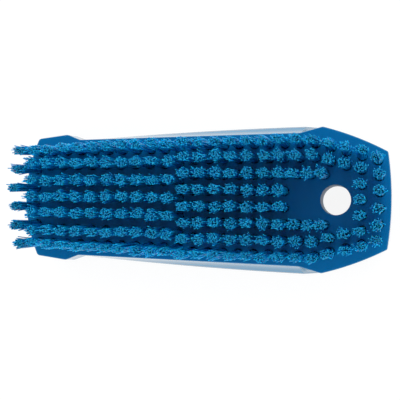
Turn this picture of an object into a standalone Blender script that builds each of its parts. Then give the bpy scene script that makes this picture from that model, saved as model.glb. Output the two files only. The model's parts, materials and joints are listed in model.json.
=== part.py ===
"""Hand scrubbing brush, modelled as the pieces that it is made of.

A moulded grip block is flat on the bristle side, has a grip recess along each long side and a hanging
hole near the heel.  Rows of bristle tufts stand in it, and a row of flat wire staples under each row
pins the tufts down.  The brush lies on its back with the bristles up.

Run with: blender --background --python part.py, or from Blender's text editor.
Metres, +Z up.  +X points to the heel, -X to the toe, and the XZ plane is the plane of symmetry.
"""
import math

import bmesh
import bpy
from mathutils import Matrix, Vector

# Block, overall
BLOCK_LENGTH = 0.163
BLOCK_THICKNESS = 0.020
EDGE_ROUND = 0.0006            # rounding where the walls meet the bristle side
WALL_DRAFT = 0.0005            # how far the walls lean out from the bristle side to the belly
HEEL_DRAFT = 0.0002            # the same at the heel and its slanted sides, which are nearly upright
WALL_SCOOP = 1.6               # 1 leans evenly; above it a wall starts upright and leans out lower down
BELLY_HEIGHT = 0.0075          # where the block is widest, above the back
BACK_ROUND = 0.0060            # how far the rounding of the back reaches in

# Outline of the bristle side: the grip's half widths at both ends, and what stands out from them
GRIP_TOE_HALF_WIDTH = 0.0258
GRIP_HEEL_HALF_WIDTH = 0.0289
TOE_CORNER_OUT = 0.0004
TOE_BULGE = 0.0057
EAR_OUT = 0.0023
EAR_FROM_TOE = 0.0195
EAR_FOOT_FROM_TOE = 0.0252
SHOULDER_FOOT_FROM_HEEL = 0.0393
SHOULDER_OUT = 0.0027
SHOULDER_FROM_HEEL = 0.0297
SLANT_BULGE = 0.0009
HEEL_CORNER_IN = 0.0080
HEEL_BULGE = 0.0016

# Outline of the belly along the grip recess, where the wall flares out under the fingers
HIP_TOE_OUT = 0.0007
HIP_HEEL_OUT = 0.0036
HIP_BULGE = 0.0007
HIP_RUNS_ON = 0.0013           # the belly's line runs on this much nearer to the shoulder

# Corner radii of both outlines
TOE_CORNER_RADIUS = 0.0018
EAR_RADIUS = 0.0040
EAR_FOOT_RADIUS = 0.0030
SHOULDER_FOOT_RADIUS = 0.0015
SHOULDER_RADIUS = 0.0020
HEEL_CORNER_RADIUS = 0.0010

# Hanging hole
HOLE_DIAMETER = 0.0130
HOLE_FROM_HEEL = 0.0238
HOLE_RIM = 0.0004              # bevel round both mouths

# Bristles
BRISTLE_LENGTH = 0.027         # visible length above the bristle side
TUFT_ROOT_DIAMETER = 0.0038
TUFT_TIP_DIAMETER = 0.0056
STRAND_ROOT_DIAMETER = 0.0016
STRAND_TIP_DIAMETER = 0.0021
OUTER_SPREAD = 0.0009          # the outer rows' tips stand this far outside their roots
TOE_REACH = 0.0012             # the toe tufts' tips stand this far ahead of their roots

# Where the tufts stand
FIRST_COLUMN_FROM_TOE = 0.0112
LAST_COLUMN_FROM_HEEL = 0.0060
FRONT_ROWS = 7                 # the rear half has one row more, set half a row over
COLUMNS = 23
FRONT_COLUMNS = 10
INNER_COLUMNS = 7              # of the two rows that stop short of the hanging hole
CLOSE_TUFTS = 3                # set closer together, beside the hanging hole
CLOSE_PITCH_SHARE = 0.87
BEND_COLUMN = 18               # from here the outer rows follow the slanted sides
HEEL_INNER_COLUMN = 21
FRONT_SPACING_SHARE = 0.275    # row spacing, of the grip's half width there
REAR_SPACING_SHARE = 0.247
OUTER_FRONT_WALL = 0.0026      # of block, between the strips of the outermost row and its neighbour
OUTER_REAR_WALL = 0.0022
HEEL_INNER_FROM_CORNER = 0.0080
HEEL_INNER_TUFTS = 5
HEEL_OUTER_FROM_CORNER = 0.0039
HEEL_OUTER_TUFTS = 6
HEEL_ROW_BULGE = 0.0010
TOE_ROW_FROM_CORNER = 0.0060
TOE_TUFTS = 6
TOE_ROW_AHEAD = 0.0061         # toe row ahead of the first column, in the middle
ROW_BULGE = 0.0024             # both follow the toe's curve, and fall this far back at their ends

# Backing strips that carry the tufts, and the staples under them
BACKING_WIDTH = 0.0040
BACKING_DEPTH = 0.0030
STRAND_SINK = 0.0015           # how deep the strands are rooted in the backing
STAPLE_THICKNESS = 0.0005
STAPLE_HEIGHT = 0.0022
STAPLE_WIDTH = 0.0036
WEB_HEIGHT = 0.0007            # of the wire between two staples
CLEARANCE = 0.0003
OVERRUN = 0.002                # how far a cutter runs past the face that it opens

# Counts
STRANDS_PER_TUFT = 3
STRANDS_PER_TOE_TUFT = 2
STRAND_SIDES = 3
CORNER_STEPS = 3
TOE_STEPS = 6
RUN_STEPS = 4
END_STEPS = 5
WALL_STEPS = 4
BACK_STEPS = 3
HOLE_STEPS = 32
MERGE_DISTANCE = 0.00001
SMOOTH_ANGLE = math.radians(35)
LEAST_BEND = math.radians(0.5)

# Places that follow from the sizes
HALF_LENGTH = BLOCK_LENGTH / 2
TOE_X = -HALF_LENGTH
HEEL_X = HALF_LENGTH
TOE_HALF_WIDTH = GRIP_TOE_HALF_WIDTH + TOE_CORNER_OUT
EAR_HALF_WIDTH = GRIP_TOE_HALF_WIDTH + EAR_OUT
SHOULDER_HALF_WIDTH = GRIP_HEEL_HALF_WIDTH + SHOULDER_OUT
HEEL_HALF_WIDTH = GRIP_HEEL_HALF_WIDTH - HEEL_CORNER_IN
TOE_ROW_END_Y = TOE_HALF_WIDTH - TOE_ROW_FROM_CORNER
HEEL_INNER_END_Y = HEEL_HALF_WIDTH - HEEL_INNER_FROM_CORNER
HEEL_OUTER_END_Y = HEEL_HALF_WIDTH - HEEL_OUTER_FROM_CORNER
HOLE_X = HEEL_X - HOLE_FROM_HEEL
FIRST_COLUMN_X = TOE_X + FIRST_COLUMN_FROM_TOE
LAST_COLUMN_X = HEEL_X - LAST_COLUMN_FROM_HEEL
PITCH = (LAST_COLUMN_X - FIRST_COLUMN_X) / (COLUMNS - 1)
BACKING_BOTTOM = BLOCK_THICKNESS - BACKING_DEPTH
STAPLE_TOP = BACKING_BOTTOM - CLEARANCE
STAPLE_BOTTOM = STAPLE_TOP - STAPLE_HEIGHT
TIP_HEIGHT = BLOCK_THICKNESS + BRISTLE_LENGTH
OUTER_RANK = (FRONT_ROWS - 1) // 2

BLOCK_FINISH = ((0.0, 0.15, 0.38), 0.12, 0.0)
BRISTLE_FINISH = ((0.0, 0.40, 0.86), 0.38, 0.0)
STEEL_FINISH = ((0.55, 0.56, 0.57), 0.30, 1.0)


def clear_scene():
    for obj in list(bpy.context.scene.objects):
        bpy.data.objects.remove(obj, do_unlink=True)


def make_collection(name, parent):
    collection = bpy.data.collections.new(name)
    parent.children.link(collection)
    return collection


def add_object(name, mesh, collection):
    obj = bpy.data.objects.new(name, mesh)
    collection.objects.link(obj)
    return obj


def mesh_from_bmesh(name, bm):
    mesh = bpy.data.meshes.new(name)
    bm.to_mesh(mesh)
    bm.free()
    return mesh


def finish(obj, colour, roughness, metallic):
    """Give the piece its own material and smooth its rounded faces."""
    material = bpy.data.materials.new(obj.name + "_finish")
    material.use_nodes = True
    shader = material.node_tree.nodes["Principled BSDF"]
    shader.inputs["Base Color"].default_value = (*colour, 1.0)
    shader.inputs["Roughness"].default_value = roughness
    shader.inputs["Metallic"].default_value = metallic
    obj.data.materials.append(material)
    obj.data.shade_smooth()
    obj.data.set_sharp_from_angle(angle=SMOOTH_ANGLE)


def make_cutter(obj):
    obj.hide_render = True
    obj.display_type = "WIRE"


def add_boolean(obj, collection, operation):
    """Cut or join the object with everything in a collection, in one step."""
    boolean = obj.modifiers.new(collection.name, "BOOLEAN")
    boolean.operation = operation
    boolean.solver = "EXACT"
    boolean.operand_type = "COLLECTION"
    boolean.collection = collection


# Outlines of the block

def fillet(before, corner, after, radius):
    """Points of an arc that rounds one corner of an outline."""
    back = (before - corner).normalized()
    ahead = (after - corner).normalized()
    half_angle = back.angle(ahead) / 2
    centre = corner + (back + ahead).normalized() * (radius / math.sin(half_angle))
    start = corner + back * (radius / math.tan(half_angle)) - centre
    end = corner + ahead * (radius / math.tan(half_angle)) - centre
    turn = start.angle(end)
    points = []
    for step in range(CORNER_STEPS + 1):
        share = step / CORNER_STEPS
        weight_start = math.sin((1 - share) * turn) / math.sin(turn)
        weight_end = math.sin(share * turn) / math.sin(turn)
        points.append(centre + start * weight_start + end * weight_end)
    return points


def bulged_run(start, end, bulge):
    """Points between two corners, on a shallow arc that stands out to the left of the way there."""
    along = end - start
    side = Vector((-along.y, along.x)).normalized()
    points = []
    for step in range(1, RUN_STEPS):
        share = step / RUN_STEPS
        points.append(start + along * share + side * (4 * bulge * share * (1 - share)))
    return points


def half_outline(flare):
    """Half of the block's outline, from the toe's middle to the heel's middle, on the +Y side.

    The flare is 0 at the bristle side and 1 at the belly.
    """
    draft = WALL_DRAFT * flare
    heel_draft = HEEL_DRAFT * flare
    toe_middle = Vector((TOE_X + WALL_DRAFT - draft, 0))
    toe_corner = Vector((toe_middle.x + TOE_BULGE, TOE_HALF_WIDTH + draft))
    ear = Vector((TOE_X + EAR_FROM_TOE, EAR_HALF_WIDTH + draft))
    ear_foot = Vector((TOE_X + EAR_FOOT_FROM_TOE, GRIP_TOE_HALF_WIDTH + HIP_TOE_OUT * flare))
    shoulder_foot = Vector((HEEL_X - SHOULDER_FOOT_FROM_HEEL + HIP_RUNS_ON * flare,
                            GRIP_HEEL_HALF_WIDTH + HIP_HEEL_OUT * flare))
    shoulder = Vector((HEEL_X - SHOULDER_FROM_HEEL, SHOULDER_HALF_WIDTH + heel_draft))
    heel_middle = Vector((HEEL_X - HEEL_DRAFT + heel_draft, 0))
    heel_corner = Vector((heel_middle.x - HEEL_BULGE, HEEL_HALF_WIDTH + heel_draft))

    toe_run = []
    for step in range(TOE_STEPS):
        share = step / TOE_STEPS
        toe_run.append(Vector((toe_middle.x + TOE_BULGE * share ** 2, toe_corner.y * share)))
    heel_run = []
    for step in range(1, RUN_STEPS + 1):
        share = 1 - step / RUN_STEPS
        heel_run.append(Vector((heel_middle.x - HEEL_BULGE * share ** 2, heel_corner.y * share)))
    grip_run = bulged_run(ear_foot, shoulder_foot, HIP_BULGE * flare)
    slant_run = bulged_run(shoulder, heel_corner, SLANT_BULGE)

    points = list(toe_run)
    points += fillet(toe_run[-1], toe_corner, ear, TOE_CORNER_RADIUS)
    points += fillet(toe_corner, ear, ear_foot, EAR_RADIUS)
    points += fillet(ear, ear_foot, grip_run[0], EAR_FOOT_RADIUS)
    points += grip_run
    points += fillet(grip_run[-1], shoulder_foot, shoulder, SHOULDER_FOOT_RADIUS)
    points += fillet(shoulder_foot, shoulder, slant_run[0], SHOULDER_RADIUS)
    points += slant_run
    points += fillet(slant_run[-1], heel_corner, heel_run[0], HEEL_CORNER_RADIUS)
    points += heel_run
    return points


def ring_at(flare, inset, height):
    """One level of the block: its half outline drawn in towards the middle, at a height."""
    length_share = 1 - inset / HALF_LENGTH
    width_share = 1 - inset / SHOULDER_HALF_WIDTH
    return [Vector((p.x * length_share, p.y * width_share, height)) for p in half_outline(flare)]


def block_rings():
    """The block's levels, from the bristle side down to the back."""
    rings = [ring_at(0, EDGE_ROUND, BLOCK_THICKNESS)]
    wall_top = BLOCK_THICKNESS - EDGE_ROUND
    for step in range(WALL_STEPS + 1):
        share = step / WALL_STEPS
        rings.append(ring_at(share ** WALL_SCOOP, 0, wall_top + (BELLY_HEIGHT - wall_top) * share))
    for step in range(1, BACK_STEPS + 1):
        angle = math.pi / 2 * step / BACK_STEPS
        inset = BACK_ROUND * (1 - math.cos(angle))
        rings.append(ring_at(1, inset, BELLY_HEIGHT * (1 - math.sin(angle))))
    return rings


def make_block_body(collection):
    """Loft one half of the block through its levels, and mirror it."""
    bm = bmesh.new()
    rings = [[bm.verts.new(point) for point in ring] for ring in block_rings()]
    for upper, lower in zip(rings, rings[1:]):
        for i in range(len(upper) - 1):
            bm.faces.new((upper[i], upper[i + 1], lower[i + 1], lower[i]))
    bm.faces.new(list(reversed(rings[0])))
    bm.faces.new(rings[-1])
    block = add_object("block", mesh_from_bmesh("block", bm), collection)
    mirror = block.modifiers.new("Mirror", "MIRROR")
    mirror.use_axis = (False, True, False)
    mirror.merge_threshold = MERGE_DISTANCE
    return block


def make_hole_cutter(collection):
    """The hanging hole, turned from a profile that opens out at both mouths."""
    radius = HOLE_DIAMETER / 2
    mouth = radius + HOLE_RIM + OVERRUN
    profile = (
        (0, BLOCK_THICKNESS + OVERRUN),
        (mouth, BLOCK_THICKNESS + OVERRUN),
        (radius, BLOCK_THICKNESS - HOLE_RIM),
        (radius, HOLE_RIM),
        (mouth, -OVERRUN),
        (0, -OVERRUN),
    )
    bm = bmesh.new()
    verts = [bm.verts.new((x, 0, z)) for x, z in profile]
    for start, end in zip(verts, verts[1:]):
        bm.edges.new((start, end))
    cutter = add_object("hole_cutter", mesh_from_bmesh("hole_cutter", bm), collection)
    cutter.location.x = HOLE_X
    screw = cutter.modifiers.new("Screw", "SCREW")
    screw.steps = HOLE_STEPS
    screw.render_steps = HOLE_STEPS
    screw.use_merge_vertices = True
    screw.merge_threshold = MERGE_DISTANCE
    make_cutter(cutter)


# Where the tufts stand: each row is a list of (root, tip offset)

def column_x(column):
    return FIRST_COLUMN_X + PITCH * column


def grip_half_width(x):
    """Half width of the bristle side along the grip, run on straight past both of its ends."""
    start = TOE_X + EAR_FOOT_FROM_TOE
    end = HEEL_X - SHOULDER_FOOT_FROM_HEEL
    share = (x - start) / (end - start)
    return GRIP_TOE_HALF_WIDTH + (GRIP_HEEL_HALF_WIDTH - GRIP_TOE_HALF_WIDTH) * share


def outer_lean(rank):
    return Vector((0, math.copysign(OUTER_SPREAD, rank)))


def outermost_y(rank, neighbour_y, wall):
    """Places an outermost row beside its neighbour, with a wall of the block between their strips."""
    return math.copysign(abs(neighbour_y) + BACKING_WIDTH + wall, rank)


def front_row(rank):
    """One of the seven rows of the front half; rank runs from 3 at +Y to -3."""
    first_x = FIRST_COLUMN_X + ROW_BULGE * (rank / OUTER_RANK) ** 4
    last_x = column_x(FRONT_COLUMNS - 1)
    tufts = []
    for column in range(FRONT_COLUMNS):
        x = first_x + (last_x - first_x) * column / (FRONT_COLUMNS - 1)
        spacing = FRONT_SPACING_SHARE * grip_half_width(x)
        if abs(rank) == OUTER_RANK:
            y = outermost_y(rank, (OUTER_RANK - 1) * spacing, OUTER_FRONT_WALL)
            tufts.append((Vector((x, y)), outer_lean(rank)))
        else:
            tufts.append((Vector((x, rank * spacing)), Vector((0, 0))))
    return tufts


def straight_rear_run(rank, last_column):
    """Roots from the middle of the brush up to a column, in line with the grip."""
    xs = [column_x(column) for column in range(FRONT_COLUMNS, last_column + 1)]
    return [Vector((x, rank * REAR_SPACING_SHARE * grip_half_width(x))) for x in xs]


def run_between(start, end, count):
    """Evenly spaced roots from a start up to an end, which itself stays free."""
    return [start + (end - start) * step / count for step in range(count)]


def outer_rear_row(rank):
    """The outermost row, which turns in at the shoulder towards the end of the heel's outer row."""
    neighbours = straight_rear_run(abs(rank) - 1, BEND_COLUMN)
    roots = [Vector((n.x, outermost_y(rank, n.y, OUTER_REAR_WALL))) for n in neighbours]
    end = Vector((column_x(COLUMNS - 1), math.copysign(HEEL_OUTER_END_Y, rank)))
    roots += run_between(roots[-1], end, COLUMNS - 1 - BEND_COLUMN)[1:]
    return [(root, outer_lean(rank)) for root in roots]


def rear_row(rank):
    """One of the eight rows of the rear half; rank runs from 3.5 at +Y to -3.5."""
    inward_steps = FRONT_ROWS / 2 - abs(rank)
    if inward_steps == 0:
        return outer_rear_row(rank)
    if inward_steps == 1:
        roots = straight_rear_run(rank, BEND_COLUMN)
        end = Vector((column_x(HEEL_INNER_COLUMN), math.copysign(HEEL_INNER_END_Y, rank)))
        roots += run_between(roots[-1], end, HEEL_INNER_COLUMN - BEND_COLUMN)[1:]
    else:
        roots = straight_rear_run(rank, FRONT_COLUMNS + INNER_COLUMNS - 1)
    if inward_steps == 2:
        step = (roots[-1] - roots[-2]) * CLOSE_PITCH_SHARE
        roots += [roots[-1] + step * count for count in range(1, CLOSE_TUFTS + 1)]
    return [(root, Vector((0, 0))) for root in roots]


def cross_row(middle_x, fall_back, end_y, count, reach):
    """A row across the brush; its ends may fall back from its middle, as the toe's curve does."""
    tufts = []
    for index in range(count):
        side_share = 1 - 2 * index / (count - 1)
        root = Vector((middle_x + fall_back * side_share ** 2, end_y * side_share))
        tufts.append((root, Vector((reach, 0))))
    return tufts


def toe_row():
    return cross_row(FIRST_COLUMN_X - TOE_ROW_AHEAD, ROW_BULGE, TOE_ROW_END_Y, TOE_TUFTS, -TOE_REACH)


def heel_inner_row():
    return cross_row(column_x(HEEL_INNER_COLUMN), 0, HEEL_INNER_END_Y, HEEL_INNER_TUFTS, 0)


def heel_outer_row():
    return cross_row(LAST_COLUMN_X + HEEL_ROW_BULGE, -HEEL_ROW_BULGE, HEEL_OUTER_END_Y,
                     HEEL_OUTER_TUFTS, 0)


def tuft_rows():
    rows = {"toe_row": toe_row()}
    for number in range(FRONT_ROWS):
        rows[f"front_row_{number + 1}"] = front_row(OUTER_RANK - number)
    for number in range(FRONT_ROWS + 1):
        rows[f"rear_row_{number + 1}"] = rear_row(FRONT_ROWS / 2 - number)
    rows["heel_inner_row"] = heel_inner_row()
    rows["heel_outer_row"] = heel_outer_row()
    return rows


# Strips along a row

def row_line(tufts):
    """The line through a row's roots: its first and last root, and those where it bends."""
    roots = [root for root, _ in tufts]
    line = [roots[0]]
    for before, root, after in zip(roots, roots[1:], roots[2:]):
        if (root - before).angle(after - root) > LEAST_BEND:
            line.append(root)
    return line + [roots[-1]]


def round_end(centre, direction, radius):
    """A half circle round the end of a strip, from its left side to its right side."""
    left = Vector((-direction.y, direction.x))
    points = []
    for step in range(END_STEPS + 1):
        angle = math.pi * step / END_STEPS
        points.append(centre + (left * math.cos(angle) + direction * math.sin(angle)) * radius)
    return points


def strip_outline(line, half_width, overhang=0):
    """A flat strip's outline along a line, with mitred bends and round ends."""
    first = (line[1] - line[0]).normalized()
    last = (line[-1] - line[-2]).normalized()
    left = []
    right = []
    for before, point, after in zip(line, line[1:], line[2:]):
        arriving = (point - before).normalized()
        mitre = (arriving + (after - point).normalized()).normalized()
        offset = Vector((-mitre.y, mitre.x)) * (half_width / mitre.dot(arriving))
        left.append(point + offset)
        right.append(point - offset)
    heel_end = round_end(line[-1] + last * overhang, last, half_width)
    toe_end = round_end(line[0] - first * overhang, -first, half_width)
    return left + heel_end + right[::-1] + toe_end


def make_plate(name, outline, bottom, top, collection):
    """An extruded outline, drawn as a flat curve and then made a mesh."""
    curve = bpy.data.curves.new(name, "CURVE")
    curve.dimensions = "2D"
    curve.fill_mode = "BOTH"
    curve.extrude = (top - bottom) / 2
    spline = curve.splines.new("POLY")
    spline.points.add(len(outline) - 1)
    for spline_point, corner in zip(spline.points, outline):
        spline_point.co = (corner.x, corner.y, 0, 1)
    spline.use_cyclic_u = True
    drawn = add_object(name, curve, collection)
    drawn.location.z = (top + bottom) / 2
    bpy.context.view_layer.update()
    depsgraph = bpy.context.evaluated_depsgraph_get()
    mesh = bpy.data.meshes.new_from_object(drawn.evaluated_get(depsgraph))
    place = drawn.matrix_world.copy()
    bpy.data.objects.remove(drawn, do_unlink=True)
    bm = bmesh.new()
    bm.from_mesh(mesh)
    bmesh.ops.remove_doubles(bm, verts=bm.verts, dist=MERGE_DISTANCE)
    bmesh.ops.recalc_face_normals(bm, faces=bm.faces)
    bm.to_mesh(mesh)
    bm.free()
    plate = add_object(name, mesh, collection)
    plate.matrix_world = place
    return plate


def add_strand(bm, root, tip, twist):
    """One three-sided strand from its root in the backing to its tip, level at both ends."""
    height = tip.z - root.z
    lean = ((tip.x - root.x) / height, (tip.y - root.y) / height)
    place = Matrix.Translation((root + tip) / 2) @ Matrix.Shear("XY", 4, lean)
    bmesh.ops.create_cone(
        bm, cap_ends=True, segments=STRAND_SIDES, radius1=STRAND_ROOT_DIAMETER / 2,
        radius2=STRAND_TIP_DIAMETER / 2, depth=height, matrix=place @ Matrix.Rotation(twist, 4, "Z"))


def make_strands(name, tufts, per_tuft, guides):
    """The strands of one row, which spread a little from root to tip."""
    root_ring = (TUFT_ROOT_DIAMETER - STRAND_ROOT_DIAMETER) / 2
    tip_ring = (TUFT_TIP_DIAMETER - STRAND_TIP_DIAMETER) / 2
    bm = bmesh.new()
    for index, (root, tip_offset) in enumerate(tufts):
        for strand in range(per_tuft):
            turn = math.tau * strand / per_tuft + math.pi * index / per_tuft
            away = Vector((math.cos(turn), math.sin(turn)))
            low = root + away * root_ring
            high = root + tip_offset + away * tip_ring
            add_strand(bm, low.to_3d() + Vector((0, 0, BLOCK_THICKNESS - STRAND_SINK)),
                       high.to_3d() + Vector((0, 0, TIP_HEIGHT)), turn)
    collection = make_collection(name + "_strands", guides)
    make_cutter(add_object(collection.name, mesh_from_bmesh(collection.name, bm), collection))
    return collection


def make_tuft_row(name, tufts, parts, guides, cutters):
    """A row of tufts, fused to the strip of backing that carries them."""
    line = row_line(tufts)
    row = make_plate(name, strip_outline(line, BACKING_WIDTH / 2), BACKING_BOTTOM, BLOCK_THICKNESS, parts)
    per_tuft = STRANDS_PER_TOE_TUFT if name == "toe_row" else STRANDS_PER_TUFT
    add_boolean(row, make_strands(name, tufts, per_tuft, guides), "UNION")
    finish(row, *BRISTLE_FINISH)
    outline = strip_outline(line, BACKING_WIDTH / 2 + CLEARANCE)
    make_cutter(make_plate(name + "_groove", outline, BACKING_BOTTOM - CLEARANCE,
                           BLOCK_THICKNESS + OVERRUN, cutters))


def make_staple_row(name, tufts, parts, cutters):
    """The flat wire staples under one row, on edge and joined by a low web of the same wire."""
    bm = bmesh.new()
    half = STAPLE_WIDTH / 2
    heights = (STAPLE_BOTTOM, STAPLE_BOTTOM + WEB_HEIGHT, STAPLE_TOP)

    def panel(start, end, low, high):
        corners = [(*start, low), (*end, low), (*end, high), (*start, high)]
        bm.faces.new([bm.verts.new(corner) for corner in corners])

    roots = [root for root, _ in tufts]
    previous_end = None
    for index, root in enumerate(roots):
        before = roots[max(index - 1, 0)]
        after = roots[min(index + 1, len(roots) - 1)]
        along = (after - before).normalized()
        start, end = root - along * half, root + along * half
        if previous_end is not None:
            panel(previous_end, start, heights[0], heights[1])
        panel(start, end, heights[0], heights[1])
        panel(start, end, heights[1], heights[2])
        previous_end = end
    bmesh.ops.remove_doubles(bm, verts=bm.verts, dist=MERGE_DISTANCE)
    staples = add_object("staples_" + name, mesh_from_bmesh("staples_" + name, bm), parts)
    solidify = staples.modifiers.new("Solidify", "SOLIDIFY")
    solidify.thickness = STAPLE_THICKNESS
    solidify.offset = 0
    finish(staples, *STEEL_FINISH)
    slot_half_width = STAPLE_THICKNESS / 2 + CLEARANCE
    outline = strip_outline(row_line(tufts), slot_half_width, half + CLEARANCE)
    make_cutter(make_plate(name + "_slot", outline, STAPLE_BOTTOM - CLEARANCE, BACKING_BOTTOM, cutters))


def main():
    clear_scene()
    scene_collection = bpy.context.scene.collection
    parts = make_collection("hand_brush", scene_collection)
    guides = make_collection("strand_guides", scene_collection)
    cutters = make_collection("block_cutters", scene_collection)
    block = make_block_body(parts)
    make_hole_cutter(cutters)
    for name, tufts in tuft_rows().items():
        make_tuft_row(name, tufts, parts, guides, cutters)
        make_staple_row(name, tufts, parts, cutters)
    add_boolean(block, cutters, "DIFFERENCE")
    finish(block, *BLOCK_FINISH)


main()
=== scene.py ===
"""Looks of a hand scrubbing brush: a moulded grip block, tufts of plastic filament and their staples.

The file is laid out as a Blender add-on and is run as a script.  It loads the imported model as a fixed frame
and builds the finished pieces in the same place.  Metres, +Z up.  The brush lies on its back, +X points to
the heel, and the XZ plane is the plane of symmetry.
"""
import json
import math

import bmesh
import bpy
from bpy.props import FloatProperty, FloatVectorProperty, IntProperty, PointerProperty
from mathutils import Matrix, Vector

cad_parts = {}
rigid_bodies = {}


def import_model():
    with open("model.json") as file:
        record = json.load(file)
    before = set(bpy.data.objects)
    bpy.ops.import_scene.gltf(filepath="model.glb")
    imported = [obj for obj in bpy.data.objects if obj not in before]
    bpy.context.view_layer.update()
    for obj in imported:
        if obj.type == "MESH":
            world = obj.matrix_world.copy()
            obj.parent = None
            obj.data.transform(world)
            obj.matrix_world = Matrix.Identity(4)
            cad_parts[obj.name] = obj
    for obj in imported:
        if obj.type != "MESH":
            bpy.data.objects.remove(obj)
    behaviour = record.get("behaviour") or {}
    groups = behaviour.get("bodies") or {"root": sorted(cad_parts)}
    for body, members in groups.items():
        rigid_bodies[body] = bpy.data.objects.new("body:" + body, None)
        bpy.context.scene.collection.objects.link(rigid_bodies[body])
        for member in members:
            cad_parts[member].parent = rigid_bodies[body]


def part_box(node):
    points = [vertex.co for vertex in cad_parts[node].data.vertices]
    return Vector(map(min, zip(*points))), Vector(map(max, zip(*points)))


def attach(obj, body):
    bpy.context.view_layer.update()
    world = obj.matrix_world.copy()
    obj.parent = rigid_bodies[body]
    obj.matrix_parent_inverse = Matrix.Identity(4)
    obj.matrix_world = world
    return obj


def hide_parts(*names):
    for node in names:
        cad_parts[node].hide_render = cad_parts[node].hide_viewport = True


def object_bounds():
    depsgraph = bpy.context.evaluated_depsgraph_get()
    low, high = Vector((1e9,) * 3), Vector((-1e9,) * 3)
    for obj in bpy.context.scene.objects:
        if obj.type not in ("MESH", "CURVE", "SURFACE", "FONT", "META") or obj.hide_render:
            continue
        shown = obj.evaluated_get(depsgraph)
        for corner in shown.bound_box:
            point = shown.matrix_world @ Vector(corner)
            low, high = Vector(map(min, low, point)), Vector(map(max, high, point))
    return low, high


bl_info = {
    "name": "Hand Scrubbing Brush",
    "version": (1, 0, 0),
    "blender": (4, 5, 0),
    "location": "3D View > Sidebar > Hand Brush",
    "description": "Builds the grip block, the bristle tufts and the staples of a hand scrubbing brush",
    "category": "Object",
}

for leftover in list(bpy.data.objects):
    bpy.data.objects.remove(leftover, do_unlink=True)
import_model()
CAD_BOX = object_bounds()

BODY = "root"

# Places read from the frame
BLOCK_LOW, BLOCK_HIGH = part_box("block")
STAPLE_LOW, STAPLE_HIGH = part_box("staples_toe_row")
TOE_X = BLOCK_LOW.x
HEEL_X = BLOCK_HIGH.x
FACE_Z = BLOCK_HIGH.z          # the bristle side
TIP_Z = CAD_BOX[1].z           # the level that the filaments are cut to

# Outline of the bristle side: the grip's half widths at both ends, and what stands out from them
GRIP_TOE_HALF_WIDTH = 0.0258
GRIP_HEEL_HALF_WIDTH = 0.0289
TOE_CORNER_OUT = 0.0004
TOE_BULGE = 0.0057
EAR_OUT = 0.0023
EAR_FROM_TOE = 0.0195
EAR_FOOT_FROM_TOE = 0.0252
SHOULDER_FOOT_FROM_HEEL = 0.0393
SHOULDER_OUT = 0.0027
SHOULDER_FROM_HEEL = 0.0297
SLANT_BULGE = 0.0009
HEEL_CORNER_IN = 0.0080
HEEL_BULGE = 0.0016
TOE_HALF_WIDTH = GRIP_TOE_HALF_WIDTH + TOE_CORNER_OUT
SHOULDER_HALF_WIDTH = GRIP_HEEL_HALF_WIDTH + SHOULDER_OUT
HEEL_HALF_WIDTH = GRIP_HEEL_HALF_WIDTH - HEEL_CORNER_IN

# Walls: they lean out from the bristle side to the belly, and the back is rounded in under it
WALL_DRAFT = 0.0005
HEEL_DRAFT = 0.0002
BELLY_HEIGHT = 0.0075
BACK_ROUND = 0.0060
HIP_TOE_OUT = 0.0007
HIP_HEEL_OUT = 0.0036
HIP_BULGE = 0.0007
HIP_RUNS_ON = 0.0013
WALL_SCOOP = 1.6

# Corner radii of the outline
TOE_CORNER_RADIUS = 0.0018
EAR_RADIUS = 0.0040
EAR_FOOT_RADIUS = 0.0030
SHOULDER_FOOT_RADIUS = 0.0015
SHOULDER_RADIUS = 0.0020
HEEL_CORNER_RADIUS = 0.0010

# Hanging hole
HOLE_FROM_HEEL = 0.0238
HOLE_X = HEEL_X - HOLE_FROM_HEEL

# Where the tufts stand
FIRST_COLUMN_FROM_TOE = 0.0112
LAST_COLUMN_FROM_HEEL = 0.0060
FRONT_ROWS = 7
COLUMNS = 23
FRONT_COLUMNS = 10
INNER_COLUMNS = 7
CLOSE_TUFTS = 3
CLOSE_PITCH_SHARE = 0.87
BEND_COLUMN = 18
HEEL_INNER_COLUMN = 21
FRONT_SPACING_SHARE = 0.275
REAR_SPACING_SHARE = 0.247
OUTER_FRONT_STEP = 0.0066
OUTER_REAR_STEP = 0.0062
HEEL_INNER_FROM_CORNER = 0.0080
HEEL_INNER_TUFTS = 5
HEEL_OUTER_FROM_CORNER = 0.0039
HEEL_OUTER_TUFTS = 6
HEEL_ROW_BULGE = 0.0010
TOE_ROW_FROM_CORNER = 0.0060
TOE_TUFTS = 6
TOE_ROW_AHEAD = 0.0061
ROW_BULGE = 0.0024
OUTER_SPREAD = 0.0009
TOE_REACH = 0.0012

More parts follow.
